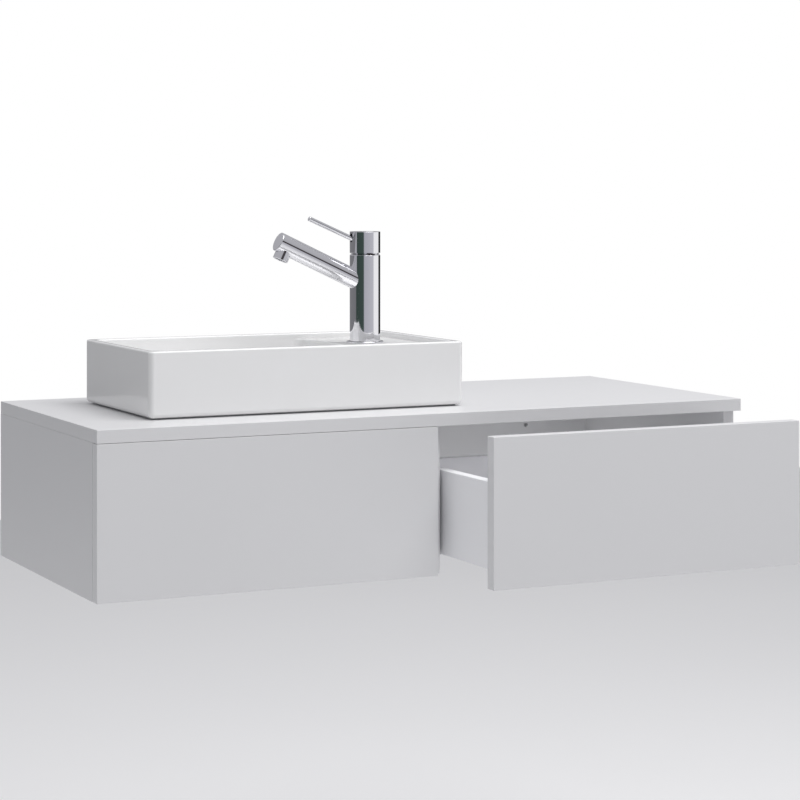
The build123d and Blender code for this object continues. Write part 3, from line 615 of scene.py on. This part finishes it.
# ------------------------------------------------------------------------------------ tap
@dataclass
class MixerTap:
    """What is modelled anew on the mixer: its foot ring, its slanted spout and the spout's outlet."""

    ring_round: float = 1.0 * MM
    ring_chamfer: float = 0.3 * MM
    ring_play: float = 0.1 * MM
    spout_round: float = 1.2 * MM
    spout_wall: float = 3.0 * MM
    spout_end: float = 2.5 * MM  # thickness of the disc that closes the tip
    round_steps: int = 4
    spout_radius: float = 14.25 * MM
    spout_angle: float = radians(25)
    spout_rise: float = 86.2 * MM
    spout_reach: float = 139.0 * MM
    outlet_from_tip: float = 14.5 * MM
    outlet_radius: float = 11.2 * MM
    outlet_drop: float = 9.0 * MM
    outlet_bore: float = 8.3 * MM
    outlet_facet: float = 5.0 * MM
    outlet_root: float = 8.4 * MM  # how far inside the spout the housing starts
    outlet_round: float = 0.5 * MM
    neck: float = 3.0 * MM  # the stretch above the flats that is cut with them
    facets: int = 12
    facet_edge: float = radians(20)  # edges between flats stay sharp
    turning_steps: int = 128
    low: Vector = field(default_factory=lambda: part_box("tap_body")[0])
    high: Vector = field(default_factory=lambda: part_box("tap_body")[1])

    @property
    def radius(self) -> float:
        """The column's radius."""
        return (self.high.x - self.low.x) / 2

    @property
    def axis(self) -> Vector:
        """The column's axis at the deck."""
        return Vector((middle("tap_body").x, middle("tap_body").y, self.low.z))

    @property
    def along(self) -> Vector:
        """The spout's direction, away from the column."""
        return Vector((-cos(self.spout_angle), 0.0, sin(self.spout_angle)))

    def base_ring(self) -> bpy.types.Object:
        """Turn the ring that covers the hole's edge."""
        low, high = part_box("tap_base_ring")
        outer, tall, slant = (high.x - low.x) / 2, high.z - low.z, self.ring_chamfer
        inner = self.radius + self.ring_play
        work = Workpiece()
        work.turn([(inner, 0.0), (outer - slant, 0.0), (outer, slant),
                   *self.rounded(outer, tall, self.ring_round), (inner, tall), (inner, 0.0)],
                  self.turning_steps)
        work.aim(Vector((self.axis.x, self.axis.y, low.z)))
        return work.cast("tap_foot_ring", CHROME, "cabinet", "tap_base_ring")

    def rounded(self, radius: float, height: float, soft: float) -> list[tuple[float, float]]:
        """Profile points of a rounded outer corner, from the side up to the end face."""
        return [(radius - soft * (1 - cos(a)), height - soft * (1 - sin(a)))
                for a in quarter(self.round_steps)]

    @property
    def spout_start(self) -> Vector:
        """Where the spout's axis meets the column's."""
        return self.axis + UP * self.spout_rise

    @property
    def spout_length(self) -> float:
        """From the column's axis to the spout's tip."""
        return self.spout_reach / cos(self.spout_angle)

    def spout(self) -> bpy.types.Object:
        """Roll the spout's tube and cope its end to the column."""
        work = Workpiece()
        outer, wall = self.spout_radius, self.spout_wall
        length = self.spout_length
        inside = length - self.spout_end
        work.turn([(outer - wall, inside), (outer - wall, 0.0), (outer, 0.0),
                   *self.rounded(outer, length, self.spout_round), (0.0, length), (0.0, inside),
                   (outer - wall, inside)], self.turning_steps)
        work.weld()
        work.aim(self.spout_start, self.along)
        start, along, radius = self.spout_start, self.along, self.radius
        for point in work.mesh.verts:
            across = point.co - start
            if across.dot(along) < wall:
                side = max(radius ** 2 - across.y ** 2, 0.0) ** 0.5
                point.co += along * ((across.x + side) / cos(self.spout_angle))
        return work.cast("tap_spout_tube", CHROME, "cabinet", "tap_spout")

    def outlet(self) -> bpy.types.Object:
        """Cut the aerator's housing with flats for a spanner."""
        down = Vector((-sin(self.spout_angle), 0.0, -cos(self.spout_angle)))
        start = self.spout_start + self.along * (self.spout_length - self.outlet_from_tip)
        root, tip, soft = self.outlet_root, self.spout_radius + self.outlet_drop, self.outlet_round
        work = Workpiece()
        work.turn([
            (self.outlet_bore, root), (self.outlet_radius, root), (self.outlet_radius, tip - soft),
            (self.outlet_radius - soft, tip), (self.outlet_bore + soft, tip), (self.outlet_bore, tip - soft),
            (self.outlet_bore, root)])
        work.weld()
        flat = self.outlet_radius * cos(pi / self.facets / 2)
        for point in work.mesh.verts:
            reach = point.co.xy.length
            if reach > self.outlet_bore + soft and point.co.z > tip - self.outlet_facet - self.neck:
                turn = point.co.xy.angle_signed(Vector((1.0, 0.0))) % (tau / self.facets) - pi / self.facets
                point.co.xy *= min(flat / cos(turn) / reach, 1.0)
        work.aim(start, down)
        work.sharp = self.facet_edge
        return work.cast("outlet_housing", CHROME, "cabinet", "aerator_housing")

    def build(self) -> list[bpy.types.Object]:
        """Model the tap's turned pieces."""
        return [self.base_ring(), self.spout(), self.outlet()]


# ------------------------------------------------------------------------------------ waste
@dataclass
class WasteFitting:
    """The waste in the basin's floor, of which the domed plug is modelled anew."""

    head: float = 4.0 * MM
    dome: float = 1.6 * MM
    crown_share: float = 0.97  # of the radius that the dome covers
    lip: float = 1.0 * MM
    stem: float = 4.0 * MM
    stem_end: float = 1.0 * MM
    arc_steps: int = 10

    def plug(self) -> bpy.types.Object:
        """Turn the plug: a shallow dome with a rolled lip on a stem."""
        low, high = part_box("waste_plug")
        radius, tall = (high.x - low.x) / 2, high.z - low.z
        under = tall - self.head
        work = Workpiece()
        shares = [1 - step / self.arc_steps for step in range(self.arc_steps + 1)]
        crown = [(radius * share * self.crown_share, tall - self.dome * share ** 2) for share in shares]
        work.turn([
            (0.0, 0.0), (self.stem - self.stem_end, 0.0), (self.stem, self.stem_end), (self.stem, under),
            (radius - 2 * self.lip, under), (radius - 0.3 * self.lip, under + 0.3 * self.lip),
            (radius, under + self.lip), *crown])
        work.aim(Vector((middle("waste_plug").x, middle("waste_plug").y, low.z)))
        return work.cast("domed_plug", CHROME, "waste_plug", "waste_plug")

    def build(self) -> list[bpy.types.Object]:
        """Model the waste's visible pieces."""
        return [self.plug()]


# ------------------------------------------------------------------------------------ studio
@dataclass
class Studio:
    """The pale studio: floor, soft lights and the camera."""

    floor_drop: float = 0.85  # worktop's height over the floor
    floor_size: float = 9.0
    eye: tuple[float, float, float] = (-1.47178, -3.34092, 0.40067)
    heading: float = 25.909  # degrees to the right of +Y
    lens: float = 105.22
    sensor: float = 36.0
    shift: float = -0.2778  # the lens is level, and shifted so that uprights stay upright

    # sRGB at angles round the horizon, in degrees to the right of straight ahead
    walls: tuple[tuple[float, str], ...] = (
        (-180.0, "#828285"), (-99.0, "#7a7a7d"), (-93.0, "#3a4743"), (-36.0, "#42504b"), (-30.0, "#b4b4bb"),
        (40.0, "#c6c6cc"), (46.0, "#ffffff"), (95.0, "#ffffff"), (98.0, "#1f2121"), (136.0, "#242626"),
        (142.0, "#828285"), (180.0, "#828285"))
    sky_starts: tuple[tuple[float, str], ...] = ((-90.0, "#000000"), (5.0, "#000000"), (15.0, "#ffffff"))
    sky: tuple[tuple[float, str], ...] = (
        (-90.0, "#b8b8bc"), (14.0, "#b4b4b8"), (50.0, "#c0c0c3"), (70.0, "#cacacc"), (90.0, "#f4f4f6"))
    rail_colour: str = "#4a4648"
    rail_bearing: tuple[tuple[float, str], ...] = (
        (-180.0, "#000000"), (-14.0, "#000000"), (-8.0, "#ffffff"), (62.0, "#ffffff"), (70.0, "#000000"))
    rail_height: tuple[tuple[float, str], ...] = (
        (-90.0, "#000000"), (-0.6, "#000000"), (0.6, "#ffffff"), (13.0, "#ffffff"), (15.0, "#000000"))
    world_power: float = 1.0

    def build(self) -> None:
        """Set up everything round the object."""
        self.set_floor()
        self.set_world()
        self.set_lights()
        self.set_camera()
        bpy.context.scene.view_settings.view_transform = "Standard"

    def set_floor(self) -> None:
        """Lay a wide pale floor at the height where a person would stand."""
        sheet = bmesh.new()
        bmesh.ops.create_grid(sheet, x_segments=8, y_segments=8, size=self.floor_size / 2)
        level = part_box("worktop")[1].z - self.floor_drop
        bmesh.ops.translate(sheet, vec=(0, 0, level), verts=sheet.verts)
        data = bpy.data.meshes.new("studio_floor")
        sheet.to_mesh(data)
        sheet.free()
        data.materials.append(PALETTE.material(STUDIO_FLOOR))
        floor = bpy.data.objects.new("studio_floor", data)
        bpy.context.scene.collection.objects.link(floor)

    def set_world(self) -> None:
        """Surround the scene with a studio: bands of wall near the horizon under a soft white sky."""
        world = bpy.data.worlds.new("soft_white_studio")
        bpy.context.scene.world = world
        world.use_nodes = True
        tree = world.node_tree
        tree.nodes.clear()
        ray = add_node(tree, "ShaderNodeTexCoord").outputs["Generated"]
        parts = add_node(tree, "ShaderNodeSeparateXYZ", links={"Vector": ray})
        ahead = add_node(tree, "ShaderNodeMath", {"operation": "MULTIPLY", 1: -1.0}, {0: parts.outputs["Y"]})
        bearing = add_node(tree, "ShaderNodeMath", {"operation": "ARCTAN2"},
                           {0: parts.outputs["X"], 1: ahead.outputs["Value"]})
        walls = self.ramp(tree, bearing.outputs["Value"], -pi, pi, self.walls)
        height = add_node(tree, "ShaderNodeMath", {"operation": "ARCSINE"}, {0: parts.outputs["Z"]})
        sky_share = self.ramp(tree, height.outputs["Value"], -pi / 2, pi / 2, self.sky_starts)
        sky = self.ramp(tree, height.outputs["Value"], -pi / 2, pi / 2, self.sky)
        open_sky = add_node(tree, "ShaderNodeMix", {"data_type": "RGBA"}, {0: sky_share, 6: walls, 7: sky})
        rail = add_node(tree, "ShaderNodeMath", {"operation": "MULTIPLY"}, {
            0: self.ramp(tree, bearing.outputs["Value"], -pi, pi, self.rail_bearing),
            1: self.ramp(tree, height.outputs["Value"], -pi / 2, pi / 2, self.rail_height)})
        around = add_node(tree, "ShaderNodeMix", {"data_type": "RGBA", 7: linear(self.rail_colour)},
                          {0: rail.outputs["Value"], 6: open_sky.outputs[2]})
        lit = add_node(tree, "ShaderNodeBackground", {"Strength": self.world_power},
                       {"Color": around.outputs[2]})
        seen = add_node(tree, "ShaderNodeBackground", {"Color": linear("#ffffff"), "Strength": 1.0})
        path = add_node(tree, "ShaderNodeLightPath")
        both = add_node(tree, "ShaderNodeMixShader", links={
            0: path.outputs["Is Camera Ray"], 1: lit.outputs["Background"], 2: seen.outputs["Background"]})
        add_node(tree, "ShaderNodeOutputWorld", links={"Surface": both.outputs["Shader"]})

    def ramp(
        self,
        tree: bpy.types.NodeTree,
        angle: bpy.types.NodeSocket,
        first: float,
        last: float,
        stops: Sequence[tuple[float, str]],
    ) -> bpy.types.NodeSocket:
        """Colour an angle by stops given in degrees.

        Args:
            tree: The world's tree.
            angle: The angle in radians.
            first: The angle at the ramp's start.
            last: The angle at the ramp's end.
            stops: Each stop's angle in degrees and its sRGB colour.

        Returns:
            The colour socket.
        """
        share = add_node(tree, "ShaderNodeMapRange", {"From Min": first, "From Max": last}, {"Value": angle})
        ramp = add_node(tree, "ShaderNodeValToRGB", links={"Fac": share.outputs["Result"]})
        places = ramp.color_ramp.elements
        for count, (degrees, colour) in enumerate(stops):
            share_of_turn = (radians(degrees) - first) / (last - first)
            place = places[count] if count < 2 else places.new(share_of_turn)
            place.position = share_of_turn
            place.color = linear(colour)
        return ramp.outputs["Color"]

    def set_lights(self) -> None:
        """Hang one large softbox above, a little to the right and in front."""
        self.softbox("key_softbox", Vector((0.5, -1.2, 2.6)), 2.2, 62.0)

    def softbox(self, name: str, place: Vector, size: float, power: float) -> None:
        """Aim a square area light at the object."""
        data = bpy.data.lights.new(name, "AREA")
        data.shape = "SQUARE"
        data.size = size
        data.energy = power
        light = bpy.data.objects.new(name, data)
        light.location = place
        light.rotation_euler = (-place).to_track_quat("-Z", "Y").to_euler()
        bpy.context.scene.collection.objects.link(light)

    def set_camera(self) -> None:
        """Stand the level camera in front, to the left."""
        data = bpy.data.cameras.new("camera")
        data.sensor_width = self.sensor
        data.lens = self.lens
        data.shift_y = self.shift
        camera = bpy.data.objects.new("camera", data)
        camera.location = self.eye
        camera.rotation_euler = (pi / 2, 0.0, -radians(self.heading))
        bpy.context.scene.collection.objects.link(camera)
        bpy.context.scene.camera = camera


def main() -> None:
    """Dress the frame, model the new pieces and set up the studio."""
    PALETTE.dress_frame(frame["nodes"])
    Basin().build()
    MixerTap().build()
    WasteFitting().build()
    Studio().build()


if __name__ == "__main__":
    main()
